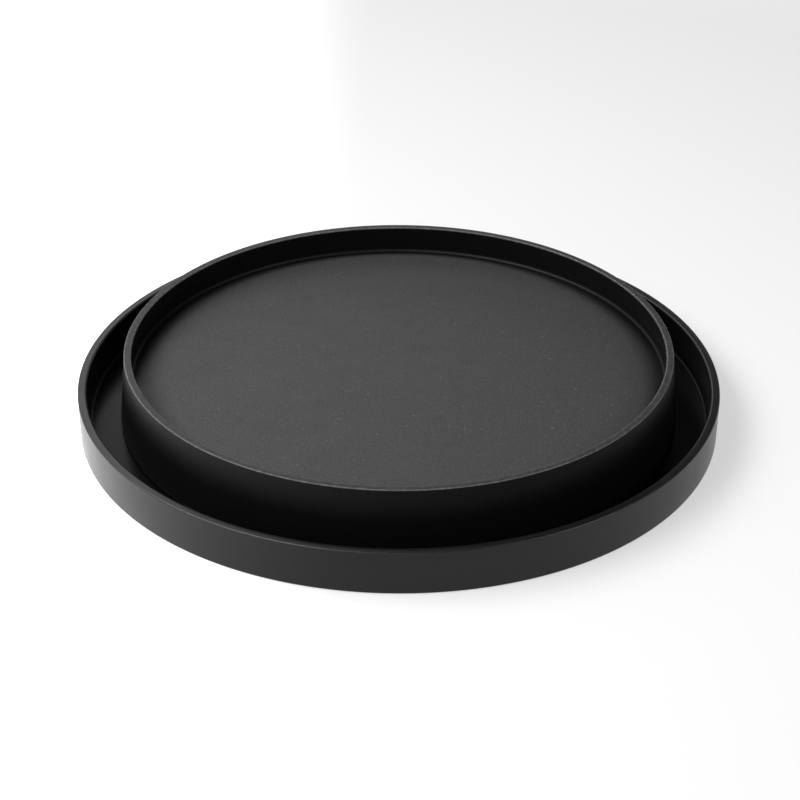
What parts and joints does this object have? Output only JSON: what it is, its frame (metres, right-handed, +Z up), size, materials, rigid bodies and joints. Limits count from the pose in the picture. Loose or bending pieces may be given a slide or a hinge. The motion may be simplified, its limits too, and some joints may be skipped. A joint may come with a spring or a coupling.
{
  "type": "turning serving tray",
  "caption": "Round black serving tray with a raised rim that turns on a hidden ball bearing inside a wider, low-rimmed round base tray.",
  "frame": {"origin": "on the turning axis, in the plane of the feet's undersides: the centre of the bottom of the tray", "axes": "+Z up along the turning axis; +X and +Y level, the tray is round about +Z"},
  "size_m": [0.4, 0.4, 0.0484],
  "materials": {
    "satin_black_hoop": "laminated wood hoop under satin black lacquer",
    "matt_black_floor": "board under matt black lacquer with a fine speckled texture",
    "black_stained_ply": "plywood stained black",
    "zinc_steel": "zinc-plated steel screws",
    "bearing_aluminium": "turned aluminium",
    "polished_steel": "polished bearing steel",
    "white_nylon": "moulded nylon",
    "black_rubber": "matt non-slip rubber"
  },
  "bodies": {
    "base": {"base_rim": "satin_black_hoop", "base_floor": "matt_black_floor", "base_cove_bead": "satin_black_hoop", "spacer_disc": "black_stained_ply", "spacer_screws": "zinc_steel", "bearing_lower_ring": "bearing_aluminium", "lower_ring_screws": "zinc_steel", "race_filling_plug": "zinc_steel", "foot_pad_1": "black_rubber", "foot_pad_2": "black_rubber", "foot_pad_3": "black_rubber", "foot_pad_4": "black_rubber", "foot_pad_5": "black_rubber", "foot_pad_6": "black_rubber"},
    "ball_cage_body": {"ball_cage": "white_nylon", "bearing_balls": "polished_steel"},
    "turntable": {"turntable_rim": "satin_black_hoop", "turntable_floor": "matt_black_floor", "turntable_cove_bead": "satin_black_hoop", "bearing_upper_ring": "bearing_aluminium", "upper_ring_screws": "zinc_steel", "backing_disc": "black_stained_ply"}
  },
  "joints": [
    {"name": "turntable_spin", "type": "hinge", "parent": "base", "child": "turntable", "pos_m": [0, 0, 0.01495], "axis": [0, 0, 1], "continuous": true},
    {"name": "cage_spin", "type": "hinge", "parent": "base", "child": "ball_cage_body", "pos_m": [0, 0, 0.01495], "axis": [0, 0, 1], "continuous": true}
  ],
  "couplings": [
    {"joint": "cage_spin", "follows": "turntable_spin", "ratio": 0.48}
  ]
}
